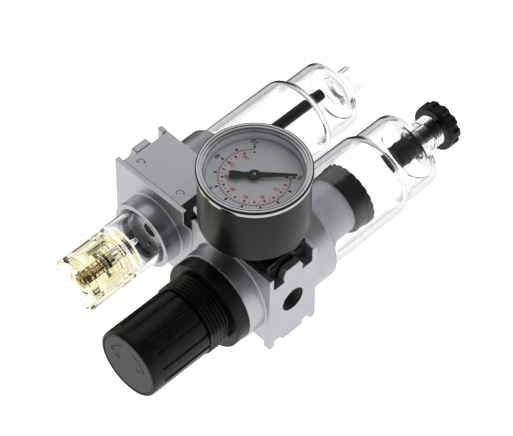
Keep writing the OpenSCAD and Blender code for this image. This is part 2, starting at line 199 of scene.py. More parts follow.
def prism(name, outline, axis, h0, h1, bevel=0.2, sharp=SHARP):
    """A flat outline pushed out along an axis, with its edges bevelled."""
    def place(u, v, h):
        return Vector({"x": (h, u, v), "y": (u, h, v), "z": (u, v, h)}[axis]) * MM
    bm = bmesh.new()
    low = [bm.verts.new(place(u, v, h0)) for u, v in outline]
    high = [bm.verts.new(place(u, v, h1)) for u, v in outline]
    bm.faces.new(low)
    bm.faces.new(high)
    for i in range(len(outline)):
        k = (i + 1) % len(outline)
        bm.faces.new((low[i], low[k], high[k], high[i]))
    if bevel:
        edges = [e for e in bm.edges if e.calc_face_angle(0) > math.radians(25)]
        bmesh.ops.bevel(bm, geom=edges, offset=bevel * MM, segments=2, profile=0.6,
                        affect="EDGES", clamp_overlap=True)
    return shaded(bm, name, sharp)


def block(name, lo, hi, bevel=0.2):
    """A box between two corners."""
    outline = [(lo[0], lo[1]), (hi[0], lo[1]), (hi[0], hi[1]), (lo[0], hi[1])]
    return prism(name, outline, "z", lo[2], hi[2], bevel)


def merged(name, parts):
    """Several objects as one object."""
    bm = bmesh.new()
    for part in parts:
        bm.from_mesh(part.data)
    mesh = to_mesh(bm, name)
    for part in parts:
        bpy.data.objects.remove(part)
    return new_object(name, smoothed(mesh, SHARP))


def baked(obj):
    """The object with its modifiers made part of its mesh."""
    depsgraph = bpy.context.evaluated_depsgraph_get()
    mesh = bpy.data.meshes.new_from_object(obj.evaluated_get(depsgraph))
    obj.modifiers.clear()
    obj.data = mesh
    return obj


def cast(node, name, voxel, passes, faces):
    """A moulded or cast body: the CAD shape with its edges softened and its corners filled."""
    bm = bmesh.new()
    bm.from_mesh(NODES[node].data)
    bmesh.ops.remove_doubles(bm, verts=bm.verts, dist=WELD)
    obj = new_object(name, to_mesh(bm, name))
    remesh = obj.modifiers.new("voxels", "REMESH")
    remesh.mode = "VOXEL"
    remesh.voxel_size = voxel * MM
    soften = obj.modifiers.new("soften", "SMOOTH")
    soften.factor = 0.5
    soften.iterations = passes
    baked(obj)
    thin = obj.modifiers.new("thin", "DECIMATE")
    thin.ratio = min(1, faces / max(1, len(obj.data.polygons)))
    baked(obj)
    smoothed(obj.data, 50)
    return obj


def attach(obj, node, look, stands_for=True):
    """Gives a piece its material, its body, its finish and the CAD node it stands for."""
    obj.data.materials.clear()
    obj.data.materials.append(LOOKS[look])
    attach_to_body(obj, BODY[node])
    if stands_for:
        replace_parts(obj, node)
    return obj


# ---------- materials ----------

def tint(colour, factor=1):
    """A colour made lighter or darker, with its alpha."""
    return (*(min(1, c * factor) for c in colour), 1)


def range_node(tree, value, span_in, span_out, eased=False):
    """A node that turns one span of a value into another."""
    node = tree.nodes.new("ShaderNodeMapRange")
    if eased:
        node.interpolation_type = "SMOOTHSTEP"
    for end, low, high in (("From", *span_in), ("To", *span_out)):
        node.inputs[end + " Min"].default_value = low
        node.inputs[end + " Max"].default_value = high
    tree.links.new(value, node.inputs["Value"])
    return node.outputs["Result"]


def math_node(tree, operation, a, b):
    """A node that makes one value out of two."""
    node = tree.nodes.new("ShaderNodeMath")
    node.operation = operation
    tree.links.new(a, node.inputs[0])
    tree.links.new(b, node.inputs[1])
    return node.outputs["Value"]


def noise_node(tree, vector, size, detail):
    """Noise with patches of a size given in millimetres."""
    node = tree.nodes.new("ShaderNodeTexNoise")
    node.inputs["Scale"].default_value = 1 / (size * MM)
    node.inputs["Detail"].default_value = detail
    tree.links.new(vector, node.inputs["Vector"])
    return node.outputs["Fac"]


def mottled_colour(tree, colour, mottle, broad, fine):
    """A colour that varies with broad patches and a little with the fine grain."""
    blend = tree.nodes.new("ShaderNodeMath")
    blend.operation = "MULTIPLY_ADD"
    blend.inputs[1].default_value = 0.35
    tree.links.new(fine, blend.inputs[0])
    tree.links.new(broad, blend.inputs[2])
    ramp = tree.nodes.new("ShaderNodeValToRGB")
    dark, light = ramp.color_ramp.elements
    dark.position = 0.45
    dark.color = tint(colour, 1 - mottle)
    light.position = 0.9
    light.color = tint(colour, 1 + mottle)
    tree.links.new(blend.outputs["Value"], ramp.inputs["Fac"])
    return ramp.outputs["Color"]


def material(name, colour, rough, metal=0.0, mottle=0.05, patch=4.0, grain=0.12, bump=0.15,
             depth=0.02, span_rough=0.06, stretch=(1, 1, 1), painted_edge_shade=None, **sockets):
    """A procedural finish: broad colour patches, a fine grain, varied roughness and a bump; a
    clear finish also gets painted shade on its rims.
    """
    made = bpy.data.materials.new(name)
    made.use_nodes = True
    tree = made.node_tree
    shader = tree.nodes["Principled BSDF"]
    shader.inputs["Metallic"].default_value = metal
    for socket, value in sockets.items():
        shader.inputs[socket.replace("_", " ")].default_value = value
    coords = tree.nodes.new("ShaderNodeTexCoord")
    mapping = tree.nodes.new("ShaderNodeMapping")
    mapping.inputs["Scale"].default_value = stretch
    tree.links.new(coords.outputs["Object"], mapping.inputs["Vector"])
    broad = noise_node(tree, mapping.outputs["Vector"], patch, 3)
    fine = noise_node(tree, mapping.outputs["Vector"], grain, 2)
    base = mottled_colour(tree, colour, mottle, broad, fine)
    tree.links.new(base, shader.inputs["Base Color"])
    limits = (max(0.01, rough - span_rough), rough + span_rough)
    tree.links.new(range_node(tree, broad, (0.3, 0.7), limits), shader.inputs["Roughness"])
    relief = tree.nodes.new("ShaderNodeBump")
    relief.inputs["Strength"].default_value = bump
    relief.inputs["Distance"].default_value = depth * MM
    tree.links.new(fine, relief.inputs["Height"])
    tree.links.new(relief.outputs["Normal"], shader.inputs["Normal"])
    # Clear finishes: transmission, and painted shade on the rims in the given colour.
    if painted_edge_shade:
        shader.inputs["Transmission Weight"].default_value = 1
        darken_rim(tree, shader, base, painted_edge_shade)
        let_light_through(tree, shader, colour)
    return made


def darken_rim(tree, shader, base, painted_edge_shade):
    """Painted shade: clear plastic's colour is darkened where it is seen at a grazing angle,
    standing in for the dark surroundings its rims refract and reflect.
    """
    facing = tree.nodes.new("ShaderNodeLayerWeight")
    facing.inputs["Blend"].default_value = 0.5
    rim = range_node(tree, facing.outputs["Facing"], (0.42, 0.96), (0, 1), eased=True)
    darker = tree.nodes.new("ShaderNodeMix")
    darker.data_type = "RGBA"
    tree.links.new(rim, darker.inputs["Factor"])
    tree.links.new(base, darker.inputs["A"])
    darker.inputs["B"].default_value = tint(painted_edge_shade)
    tree.links.new(darker.outputs["Result"], shader.inputs["Base Color"])


def let_light_through(tree, shader, colour):
    """Light that is not seen directly or through other clear plastic passes straight through."""
    path = tree.nodes.new("ShaderNodeLightPath").outputs
    mirrored = math_node(tree, "SUBTRACT", path["Is Glossy Ray"], path["Is Transmission Ray"])
    unseen = math_node(tree, "MAXIMUM", path["Is Shadow Ray"], path["Is Diffuse Ray"])
    unseen = math_node(tree, "MAXIMUM", unseen, mirrored)
    through = tree.nodes.new("ShaderNodeBsdfTransparent")
    through.inputs["Color"].default_value = tint(colour)
    mix = tree.nodes.new("ShaderNodeMixShader")
    tree.links.new(unseen, mix.inputs["Fac"])
    tree.links.new(shader.outputs["BSDF"], mix.inputs[1])
    tree.links.new(through.outputs["BSDF"], mix.inputs[2])
    tree.links.new(mix.outputs["Shader"], tree.nodes["Material Output"].inputs["Surface"])


TURNED = (1, 1, 14)      # draws the noise into fine rings, as on a turned part
LOOKS = {
    "cast_silver": material("cast_silver", (0.55, 0.555, 0.585), 0.3, metal=0.9, mottle=0.05,
                            patch=6, grain=0.16, bump=0.2, depth=0.03),
    "cover_grey": material("cover_grey", (0.66, 0.665, 0.7), 0.45, metal=0.4, mottle=0.035,
                           patch=7, grain=0.2, bump=0.2, depth=0.02),
    "black_plastic": material("black_plastic", (0.005, 0.005, 0.0045), 0.3, mottle=0.4, patch=5,
                              grain=0.12, bump=0.15, depth=0.03, Specular_IOR_Level=0.2),
    "case_black": material("case_black", (0.007, 0.007, 0.0055), 0.34, mottle=0.3, patch=8,
                           grain=0.25, bump=0.12, depth=0.03, Specular_IOR_Level=0.27),
    # Port threads: their dark colour is painted shade inside the air ports.
    "port_painted_shade": material("port_painted_shade", (0.05, 0.05, 0.05), 0.4, metal=0.7, mottle=0.2, patch=2,
                          grain=0.15, bump=0.2, depth=0.02),
    "disc_grey": material("disc_grey", (0.075, 0.075, 0.075), 0.5, mottle=0.12, patch=3,
                          grain=0.1, bump=0.3, depth=0.03, Specular_IOR_Level=0.3),
    "neck_grey": material("neck_grey", (0.42, 0.425, 0.46), 0.45, metal=0.15, mottle=0.05,
                          patch=5, grain=0.15, bump=0.15, depth=0.02),
    "filter_white": material("filter_white", (0.85, 0.85, 0.82), 0.85, mottle=0.1, patch=1.2,
                             grain=0.25, bump=0.8, depth=0.15),
    "black_rubber": material("black_rubber", (0.02, 0.02, 0.02), 0.75, mottle=0.25, patch=2,
                             grain=0.15, bump=0.3, depth=0.03),
    "bright_steel": material("bright_steel", (0.62, 0.62, 0.63), 0.28, metal=1, mottle=0.08,
                             patch=3, grain=0.3, bump=0.25, depth=0.01, stretch=TURNED),
    "spring_steel": material("spring_steel", (0.5, 0.5, 0.51), 0.35, metal=1, mottle=0.12,
                             patch=2, grain=0.2, bump=0.2, depth=0.01),
    "brass": material("brass", (0.6, 0.45, 0.24), 0.3, metal=1, mottle=0.15, patch=2.5,
                      grain=0.25, bump=0.2, depth=0.01, stretch=TURNED),
    # In the clear finishes below, the second colour is painted shade for the rims seen at a
    # grazing angle.
    "clear_plastic": material("clear_plastic", (0.985, 0.985, 0.99), 0.02, mottle=0.01, patch=9,
                              grain=2.5, bump=0.03, depth=0.02, span_rough=0.01,
                              painted_edge_shade=(0.42, 0.42, 0.5), IOR=1.49),
    "amber_plastic": material("amber_plastic", (0.985, 0.965, 0.86), 0.03, mottle=0.03, patch=4,
                              grain=1.2, bump=0.03, depth=0.02, span_rough=0.02,
                              painted_edge_shade=(0.5, 0.45, 0.24), IOR=1.14),
    "bezel_chrome": material("bezel_chrome", (0.6, 0.605, 0.62), 0.08, metal=1, mottle=0.04,
                             patch=4, grain=0.5, bump=0.05, depth=0.01, span_rough=0.04),
    # Its second colour is painted shade for the window's rim.
    "window_glass": material("window_glass", (0.985, 0.99, 0.99), 0.02, mottle=0.01, patch=9,
                             grain=3, bump=0.02, depth=0.01, span_rough=0.01,
                             painted_edge_shade=(0.9, 0.92, 0.92), IOR=1.2),
    "dial_print": material("dial_print", (0.46, 0.47, 0.49), 0.55, mottle=0.03, patch=6,
                           grain=0.2, bump=0.1, depth=0.01, Specular_IOR_Level=0.3),
    "pointer_black": material("pointer_black", (0.008, 0.008, 0.008), 0.45, mottle=0.3, patch=2,
                              grain=0.1, bump=0.2, depth=0.01, Specular_IOR_Level=0.15),
    "scale_black": material("scale_black", (0.012, 0.012, 0.014), 0.6, mottle=0.3, patch=1,
                            grain=0.08, bump=0.1, depth=0.01, Specular_IOR_Level=0.1),
    "scale_red": material("scale_red", (0.33, 0.03, 0.045), 0.6, mottle=0.25, patch=1,
                          grain=0.08, bump=0.1, depth=0.01, Specular_IOR_Level=0.1),
    "scale_pink": material("scale_pink", (0.53, 0.45, 0.47), 0.6, mottle=0.08, patch=1.5,
                           grain=0.1, bump=0.1, depth=0.01, Specular_IOR_Level=0.2),
    # Dark print on the knob's end, also used as painted shade on the cover's pocket floors.
    "print_and_painted_shade": material("print_and_painted_shade", (0.012, 0.012, 0.012), 0.5, mottle=0.3, patch=1,
                          grain=0.08, bump=0.1, depth=0.01, Specular_IOR_Level=0.2),
}


# ---------- regulator ----------

def knob_piece():
    """Black knob with narrow grooves round it and a rounded end."""
    count, width, depth = 14, 1.4, 0.5
    phase = math.tau * 0.86 / count     # where the first groove stands
    groove_end = KNOB.z1 - 5.1

    def relief(a, r, z):
        if r < KNOB.r - 0.1 or z > groove_end + 0.5:
            return r
        off = abs((a - phase + math.pi / count) % (math.tau / count) - math.pi / count) * r
        side = min(1, max(0, (width / 2 + 0.12 - off) / 0.24))
        top = min(1, max(0, (groove_end + 0.35 - z) / 0.5))
        return r - depth * side * top
    bore, bore_z = 11.15, KNOB.z0 + 18
    socket, socket_z = 4.75, KNOB.z1 - 3.1
    outline = [(0.0, socket_z), (socket, socket_z), (socket, bore_z)]
    outline += [(bore, bore_z), (bore, KNOB.z0)]
    outline += rounded([(bore, KNOB.z0), (KNOB.r, KNOB.z0, 0.5), (KNOB.r, groove_end - 1)])[1:]
    outline += column(KNOB.r, groove_end - 0.8, groove_end + 0.6, 0.1)
    seat = CAP.r + 0.1
    end = rounded([(KNOB.r, groove_end + 1), (KNOB.r, KNOB.z1, 2.2), (seat, KNOB.z1, 0.25),
                   (seat, CAP.z0), (0.0, CAP.z0)], steps=7)
    obj = lathe("knob_grip", outline + end, "z", (FX, 0, 0), segments=count * 30,
                relief=relief, closed=False)
    attach(obj, "knob", "black_plastic")


def around(radius, angle):
    """A place at a radius and an angle round the filter-regulator's axis or the gauge's."""
    a = math.radians(angle)
    return (FX + radius * math.cos(a), radius * math.sin(a))


def arc_outline(radius, width, a0, a1, steps):
    """The outline of a flat arc."""
    angles = [a0 + (a1 - a0) * i / steps for i in range(steps + 1)]
    outer = [around(radius + width / 2, a) for a in angles]
    inner = [around(radius - width / 2, a) for a in reversed(angles)]
    return outer + inner


def knob_end():
    """Grey end disc with generic turning arrows, a plus and a minus."""
    face = CAP.z1 - 0.08
    outline = rounded([(0.0, CAP.z0), (CAP.r, CAP.z0), (CAP.r, CAP.z1, 0.25),
                       (CAP.r - 0.9, face, 0.2), (0.0, face)])
    disc = lathe("knob_disc", outline, "z", (FX, 0, 0), closed=False)
    attach(disc, "knob_cap", "disc_grey")
    z0, z1 = CAP.z1 - 0.09, CAP.z1 - 0.03
    radius = CAP.r * 0.68
    marks = []
    for a in (200, 290):
        marks.append(prism("m", arc_outline(radius, 0.55, a, a + 52, 14), "z", z0, z1, bevel=0))
    for a, turn in ((200, -1), (342, 1)):
        head = [around(radius, a + 8 * turn), around(radius + 0.9, a), around(radius - 0.9, a)]
        marks.append(prism("m", head, "z", z0, z1, bevel=0))
    long, thin = 1.2, 0.25
    for a, strokes in ((190, [(long, thin)]), (355, [(long, thin), (thin, long)])):
        x, y = around(radius * 0.62, a)
        for u, v in strokes:
            marks.append(block("m", (x - u, y - v, z0), (x + u, y + v, z1), 0))
    attach(merged("knob_marks", marks), "knob_cap", "print_and_painted_shade", stands_for=False)


def bonnet_piece():
    """Bonnet with a thick flange and a real panel thread that has a flat on each side."""
    flange_z = BONNET.z0 + 9.5
    flange_z0 = 19.05
    thread_z0, thread_z1, pitch, deep = flange_z + 0.9, 33.6, 1.5, 0.85
    thread_r, flat, relief_r = 14.0, 13.3, 13.4
    neck_r, neck_z = 10.8, 34.0
    bore_r, stem_r, room_z0, room_z1 = 9.2, 4.05, 16.8, 47.5
    spigot_r, spigot_bore = 15.1, 12.9

    def relief(a, r, z):
        if abs(r - thread_r) > 0.01:
            return r
        wave = ((z - thread_z0) / pitch - a / math.tau) % 1
        fade = min(1, (z - thread_z0) / 0.6 + 0.1, (thread_z1 - z) / 0.5 + 0.1)
        out = r - deep * fade * min(1, max(0, 2.6 * abs(wave - 0.5) - 0.15))
        return min(out, flat / max(0.05, abs(math.cos(a))))
    outline = [(bore_r, room_z0), (bore_r, room_z1), (stem_r, room_z1), (stem_r, BONNET.z1)]
    outline += rounded([(stem_r, BONNET.z1), (neck_r, BONNET.z1, 0.5), (neck_r, neck_z)])[1:]
    outline += [(12.6, neck_z), (13.2, neck_z - 0.2)]
    outline += column(thread_r, thread_z1, thread_z0, 0.125)
    outline += [(relief_r, thread_z0 - 0.3), (relief_r, flange_z)]
    outline += rounded([(relief_r, flange_z), (BONNET.r, flange_z, 0.45),
                        (BONNET.r, flange_z0, 0.3), (spigot_r, flange_z0)])[1:]
    outline += [(spigot_r, BONNET.z0), (spigot_bore, BONNET.z0), (spigot_bore, room_z0)]
    obj = lathe("bonnet_body", outline, "z", (FX, 0, 0), segments=180, relief=relief, sharp=34)
    attach(obj, "bonnet", "black_plastic")


# ---------- housings ----------

def port_thread(name, x_face, inward):
    """Threaded sleeve in an air port, going in from the face it opens on, coloured dark as painted
    shade inside the port.
    """
    root, pitch, deep, length = 4.84, 0.907, 0.45, 7.4

    def relief(a, r, x):
        if r > root - 0.02:
            return r
        wave = (abs(x - x_face) / pitch - a / math.tau) % 1
        return r - deep * (1 - abs(2 * wave - 1)) * min(1, (abs(x - x_face) - 0.4) / 0.6)
    inner = column(root - 0.05, x_face + inward * length, x_face + inward * 0.5, 0.11)
    outline = [(root, x_face + inward * 0.05), (root, x_face + inward * length)] + inner
    return lathe(name, outline, "x", (0, 0, 0), segments=120, relief=relief, sharp=34)


def housings():
    """Both die-cast housings, with softened edges, and their threaded ports."""
    fr = cast("fr_body", "fr_casting", 0.24, 3, 90000)
    attach(fr, "fr_body", "cast_silver")
    lub = cast("lub_body", "lub_casting", 0.24, 3, 90000)
    attach(lub, "lub_body", "cast_silver")
    # The port threads are coloured dark as painted shade inside the ports.
    attach(port_thread("inlet_thread", FR.x0, 1), "fr_body", "port_painted_shade", stands_for=False)
    attach(port_thread("outlet_thread", LUB.x1, -1), "lub_body", "port_painted_shade", stands_for=False)


def front_pieces():
    """Gauge plate, joint clamp and the lubricator's cover with its two pockets, whose floors carry
    painted shade round grey inserts.
    """
    attach(cast("gauge_plate", "plate_moulding", 0.16, 3, 40000), "gauge_plate", "black_plastic")
    attach(cast("joint_clamp", "clamp_moulding", 0.16, 3, 24000), "joint_clamp", "black_plastic")
    attach(cast("lub_cover", "cover_plate", 0.16, 2, 40000), "lub_cover", "cover_grey")
    cover = span("lub_cover")
    y, z = cover.y0, 5.8
    for x in (cover.x0 + 4.1, cover.x1 - 5.2):
        # Dark half-disc on the pocket's floor: painted shade round the insert.
        pocket_shade = half_disc("pocket_painted_shade", (x, z), 1.66, y + 0.42, y + 0.48)
        attach(pocket_shade, "lub_cover", "print_and_painted_shade", stands_for=False)
        insert = half_disc("pocket_insert", (x + 0.1, z - 0.15), 1.22, y + 0.08, y + 0.45)
        attach(insert, "lub_cover", "cover_grey", stands_for=False)


def half_disc(name, centre, radius, y0, y1):
    """A half-round plate on the cover, turned the way its pocket is."""
    corners = [(centre[0] + radius * math.cos(math.radians(b)),
                centre[1] + radius * math.sin(math.radians(b))) for b in range(-142, 39, 12)]
    return prism(name, corners, "y", y0, y1, bevel=0.05)


# ---------- gauge ----------

def gauge_shell():
    """Black case with a boss and a bore for the gauge's stem."""
    front, back, inside = CASE.y0, -28.4, -30.6
    case_r, room_r, boss_r, boss_y, bore_r = 19.7, 18.2, 8.5, -25.0, 5.35
    outline = rounded([(room_r, front), (case_r, front, 0.2), (case_r, back, 1.0),
                       (boss_r, back, 0.3), (boss_r, boss_y, 0.3), (bore_r, boss_y),
                       (bore_r, inside), (room_r, inside)])
    case = lathe("gauge_shell", outline, "y", (FX, 0, 0), segments=144)
    attach(case, "gauge_case", "case_black")


def gauge_ring():
    """Chrome bezel with two grooves in its face, and a black ring round its rim as a painted dark
    reflection.
    """
    front, back, outer = BEZEL.y0, BEZEL.y1, BEZEL.r
    outline = rounded([(18.3, back), (outer, back, 0.2), (outer, front + 1.0, 0.1),
                       (outer - 0.4, front + 0.9), (outer - 0.4, front + 0.05, 0.15),
                       (outer - 1.15, front, 0.2), (outer - 1.25, front + 0.6),
                       (outer - 1.5, front + 0.6), (outer - 1.55, front + 0.1, 0.15),
                       (outer - 2.1, front + 0.15, 0.15), (outer - 2.2, front + 0.7),
                       (outer - 2.4, front + 0.7), (outer - 2.45, front + 0.4, 0.1),
                       (17.35, front + 0.9, 0.1), (17.35, front + 1.3), (18.3, front + 1.3)])
    bezel = lathe("gauge_ring", outline, "y", (FX, 0, 0), segments=160)
    attach(bezel, "gauge_bezel", "bezel_chrome")
    # Black ring set into the bezel's outer rim: a painted dark reflection on the chrome.
    outline = rounded([(outer - 0.38, front + 0.1, 0.05), (outer - 0.15, front + 0.12, 0.1),
                       (outer - 0.02, front + 0.4, 0.1), (outer - 0.02, front + 0.95),
                       (outer - 0.38, front + 0.85)])
    painted_edge_shade = lathe("gauge_ring_painted_reflection", outline, "y", (FX, 0, 0), segments=160)
    attach(painted_edge_shade, "gauge_bezel", "pointer_black", stands_for=False)


def gauge_face():
    """Window, the pale wall behind it, and the dial's plate."""
    window = span("gauge_window")
    outline = rounded([(0.0, window.y0), (window.r, window.y0, 0.12), (window.r, window.y1, 0.12),
                       (0.0, window.y1)])
    glass = lathe("gauge_glass", outline, "y", (FX, 0, 0), segments=96, closed=False)
    attach(glass, "gauge_window", "window_glass")
    wall_y0, wall_y1 = window.y1 + 0.05, DIAL.y0 - 0.02
    wall = rounded([(17.2, wall_y0), (18.15, wall_y0), (18.15, wall_y1), (16.9, wall_y1, 0.3)])
    liner = lathe("gauge_liner", wall, "y", (FX, 0, 0), segments=96)
    attach(liner, "gauge_dial", "cover_grey", stands_for=False)
    shaft_hole = 1.2
    outline = rounded([(shaft_hole, DIAL.y0), (DIAL.r, DIAL.y0), (DIAL.r, DIAL.y1),
                       (shaft_hole, DIAL.y1)])
    attach(lathe("dial_plate", outline, "y", (FX, 0, 0)), "gauge_dial", "dial_print")


ZERO_ANGLE = 225.0       # direction of the dial's zero, from +X towards +Z
SWEEP = 270.0            # the dial's full scale, in degrees
PRINT = 0.02             # thickness of the print


def scale_angle(share):
    """The direction of a share of the dial's full scale."""
    return ZERO_ANGLE - SWEEP * share


def tick(radius0, radius1, width, angle, y):
    """A printed line along a radius."""
    side = Vector((-math.sin(math.radians(angle)), math.cos(math.radians(angle)))) * width / 2
    a, b = Vector(around(radius0, angle)), Vector(around(radius1, angle))
    corners = [tuple(a - side), tuple(b - side), tuple(b + side), tuple(a + side)]
    return prism("t", corners, "y", y - PRINT, y, bevel=0)


def dial_arc(radius, width, a0, a1, y, steps=72):
    """A printed arc."""
    return prism("a", arc_outline(radius, width, a0, a1, steps), "y", y - PRINT, y, bevel=0)


def dial_number(text, size, radius, angle, y):
    """A number on the dial, upright to a reader in front."""
    curve = bpy.data.curves.new("n", "FONT")
    curve.body = text
    curve.size = size * MM
    curve.align_x = "CENTER"
    curve.align_y = "CENTER"
    curve.extrude = 0.01 * MM
    curve.offset = size * 0.016 * MM
    curve.resolution_u = 3
    maker = new_object("n", curve)
    x, z = around(radius, angle)
    maker.matrix_world = (Matrix.Translation(Vector((x, y - 0.01, z)) * MM)
                          @ Matrix.Rotation(math.radians(90), 4, "X"))
    bpy.context.view_layer.update()
    mesh = bpy.data.meshes.new_from_object(maker)
    mesh.transform(maker.matrix_world)
    bpy.data.objects.remove(maker)
    return new_object("n", mesh)


def black_scale(y):
    """Outer scale from 0 to 10, the ring round it, and the ticks of the inner scale."""
    tenths, inner = 50, 30
    black = []
    for i in range(tenths + 1):
        angle = scale_angle(i / tenths)
        if i % 5 == 0:
            black.append(tick(12.7, 14.0, 0.7, angle, y))
        else:
            black.append(tick(12.2, 12.9, 0.2, angle, y))
    black.append(dial_arc(12.2, 0.22, ZERO_ANGLE, scale_angle(1), y))
    for value in range(0, 11, 2):
        black.append(dial_number(str(value), 2.7, 15.5, scale_angle(value / 10), y))
    black.append(dial_arc(16.75, 0.1, 0, 359.9, y, steps=120))
    for i in range(inner + 1):
        start, width = (10.8, 0.25) if i % 2 else (10.4, 0.6)
        black.append(tick(start, 11.4, width, scale_angle(i / inner), y - PRINT))
    return black


def dial_scales():
    """Both scales as thin print on the dial, the inner one in red on a pink band."""
    y = DIAL.y0 - 0.01
    attach(merged("dial_black", black_scale(y)), "gauge_dial", "scale_black", stands_for=False)
    full = 150
    red = []
    for value in range(20, full, 20):
        red.append(dial_number(str(value), 1.9, 9.0, scale_angle(value / full), y - PRINT))
    attach(merged("dial_red", red), "gauge_dial", "scale_red", stands_for=False)
    pink = dial_arc(10.6, 3.0, ZERO_ANGLE, scale_angle(1), y)
    attach(merged("dial_pink", [pink]), "gauge_dial", "scale_pink", stands_for=False)


def pointer_piece():
    """Black pointer with a wide tail, a waist, a round hub and a bright pin."""
    hub = span("gauge_pointer")
    half = [(-8.6, 1.55), (-7.4, 1.85), (-5.2, 1.5), (-3.6, 1.1), (-2.1, 1.2), (2.1, 1.15),
            (8.0, 0.8), (13.6, 0.5), (14.5, 0.25)]
    other = [(x, -w) for x, w in reversed(half)]
    turn = Matrix.Rotation(math.radians(ZERO_ANGLE), 2)
    turned = [turn @ Vector(p) for p in half + other]
    flat = [(FX + p.x, p.y) for p in turned]
    blade = prism("blade", flat, "y", hub.y0 + 0.12, hub.y1 - 0.12, bevel=0.06)
    dome = rounded([(0.0, hub.y0), (2.0, hub.y0, 0.3), (2.4, hub.y0 + 0.35, 0.15),
                    (2.4, hub.y1, 0.1), (0.0, hub.y1)])
    boss = lathe("boss", dome, "y", (FX, 0, 0), segments=48, closed=False)
    attach(merged("pointer_hand", [blade, boss]), "gauge_pointer", "pointer_black")
    shaft = span("pointer_shaft")
    tip_r, shaft_r = 0.45, 0.69
    outline = rounded([(0.0, shaft.y0), (tip_r, shaft.y0, 0.15), (tip_r, hub.y0 - 0.02),
                       (shaft_r, hub.y0 + 0.1), (shaft_r, shaft.y1), (0.0, shaft.y1)])
    pin = lathe("pointer_pin", outline, "y", (FX, 0, 0), segments=32, closed=False)
    attach(pin, "pointer_shaft", "brass")


# ---------- filter and bowls ----------

def neck_piece():
    """Grey neck with a parting line."""
    neck = span("filter_neck")
    line = -30.0
    bore_r, stem_r, room_z = 8.8, 1.6, -16.0
    spigot_r, neck_r, shoulder = 9.6, 10.7, -12.25
    outline = [(bore_r, neck.z0), (bore_r, room_z), (stem_r, room_z), (stem_r, neck.z1),
               (spigot_r, neck.z1)]
    outline += rounded([(spigot_r, neck.z1), (spigot_r, shoulder), (neck_r, shoulder, 0.2),
                        (neck_r, line + 0.12), (neck_r - 0.1, line, 0.05), (neck_r, line - 0.12),
                        (neck_r, neck.z0, 0.4), (bore_r, neck.z0)])[1:-1]
    attach(lathe("neck_tube", outline, "z", (FX, 0, 0), segments=128), "filter_neck", "neck_grey")


def louvre_piece():
    """Black swirl ring with its slanted vanes."""
    ring = span("louvre_ring")
    count = 24
    bore_r, hub_r, step = 8.85, 12.1, -45.0

    def vanes(a, r, z):
        if r < ring.r - 0.4 or z > step - 0.05:
            return r
        swing = (a * count / math.tau + (z - step) * 0.35) % 1
        return r - 1.1 * min(1, max(0, 3.2 * abs(swing - 0.5) - 0.9))
    outline = [(bore_r, ring.z0), (bore_r, ring.z1)]
    outline += rounded([(bore_r, ring.z1), (hub_r, ring.z1, 0.5), (hub_r, step + 0.1, 0.2),
                        (hub_r + 0.3, step)])[1:]
    outline += column(ring.r, step - 0.2, ring.z0 + 0.1, 0.3)
    outline += [(12.0, ring.z0)]
    obj = lathe("louvre_vanes", outline, "z", (FX, 0, 0), segments=count * 12, relief=vanes)
    attach(obj, "louvre_ring", "black_plastic")


def bowl_outline(box, low_r, stub_r):
    """Section of a bowl: thin rim, wide upper part, step, lower part, domed end and stub."""
    rim_r, groove_r, land_r, groove_z = 12.8, 13.9, 15.3, -14.4
    shoulder = FR.z0 - 0.3
    outer = rounded([(rim_r, box.z1, 0.2), (groove_r, box.z1, 0.2), (groove_r, groove_z, 0.1),
                     (land_r, groove_z, 0.2), (land_r, shoulder), (box.r, shoulder, 0.25),
                     (box.r, STEP_Z + 1.5, 1.6), (low_r, STEP_Z - 1.2, 1.6),
                     (low_r, FLOOR_Z + 1.4, 1.2)], steps=5)
    dome = []
    for k in range(1, 11):
        t = k / 10
        pull = math.sin(math.radians(90 * t)) ** 1.6 * t ** 0.2
        drop = 1 - math.cos(math.radians(78 * t))
        dome.append((low_r - (low_r - stub_r) * pull, FLOOR_Z + 1.0 - 7.2 * drop))
    stub = [(stub_r, FLOOR_Z - 6.6)]
    low, high = low_r - WALL, box.r - WALL
    inner = rounded([(low - 0.6, FLOOR_Z, 2.2), (low, FLOOR_Z + 3, 1.2), (low, STEP_Z - 0.6, 1.4),
                     (high, STEP_Z + 1.8, 1.4), (high, shoulder - 2.7, 0.6),
                     (rim_r, shoulder - 0.7, 0.3)], steps=5)
    return outer, dome, stub, inner


def filter_bowl():
    """Clear filter bowl with a threaded drain stud."""
    box = FILTER_BOWL
    low_r, stud_r, bore = 15.2, 6.2, 2.6
    outer, dome, stub, inner = bowl_outline(box, low_r, stud_r)
    thread_z0, pitch = stub[0][1] - 1.0, 1.25

    def relief(a, r, z):
        if abs(r - stud_r) > 0.01 or z > thread_z0:
            return r
        wave = ((z - thread_z0) / pitch - a / math.tau) % 1
        fade = min(1, (thread_z0 - z) / 0.5, (z - box.z0) / 0.3)
        return r - 0.5 * (1 - abs(2 * wave - 1)) * fade
    outline = outer + dome + stub + column(stud_r, thread_z0, box.z0, 0.125)
    outline += [(bore, box.z0), (bore, FLOOR_Z)] + inner
    obj = lathe("filter_bowl_clear", outline, "z", (FX, 0, 0), segments=144, relief=relief,
                sharp=45)
    attach(obj, "filter_bowl", "clear_plastic")


def oil_bowl():
    """Clear oil bowl with a plain closed stub, hollow from below."""
    box = OIL_BOWL
    low_r, stub_r, hollow_r, hollow_z = 13.7, 5.2, 3.6, -85.0
    outer, dome, stub, inner = bowl_outline(box, low_r, stub_r)
    outline = outer + dome + stub
    outline += rounded([stub[0], (stub_r, box.z0, 0.5), (hollow_r, box.z0, 0.3),
                        (hollow_r, hollow_z, 0.5), (0.0, hollow_z)], steps=4)[1:]
    ring = [(5.0, FLOOR_Z), (5.2, FLOOR_Z + 0.6), (5.8, FLOOR_Z + 0.6), (6.0, FLOOR_Z)]
    outline += [(0.0, FLOOR_Z)] + ring + inner
    obj = lathe("oil_bowl_clear", outline, "z", (LX, 0, 0), segments=144, sharp=45)
    attach(obj, "oil_bowl", "clear_plastic")


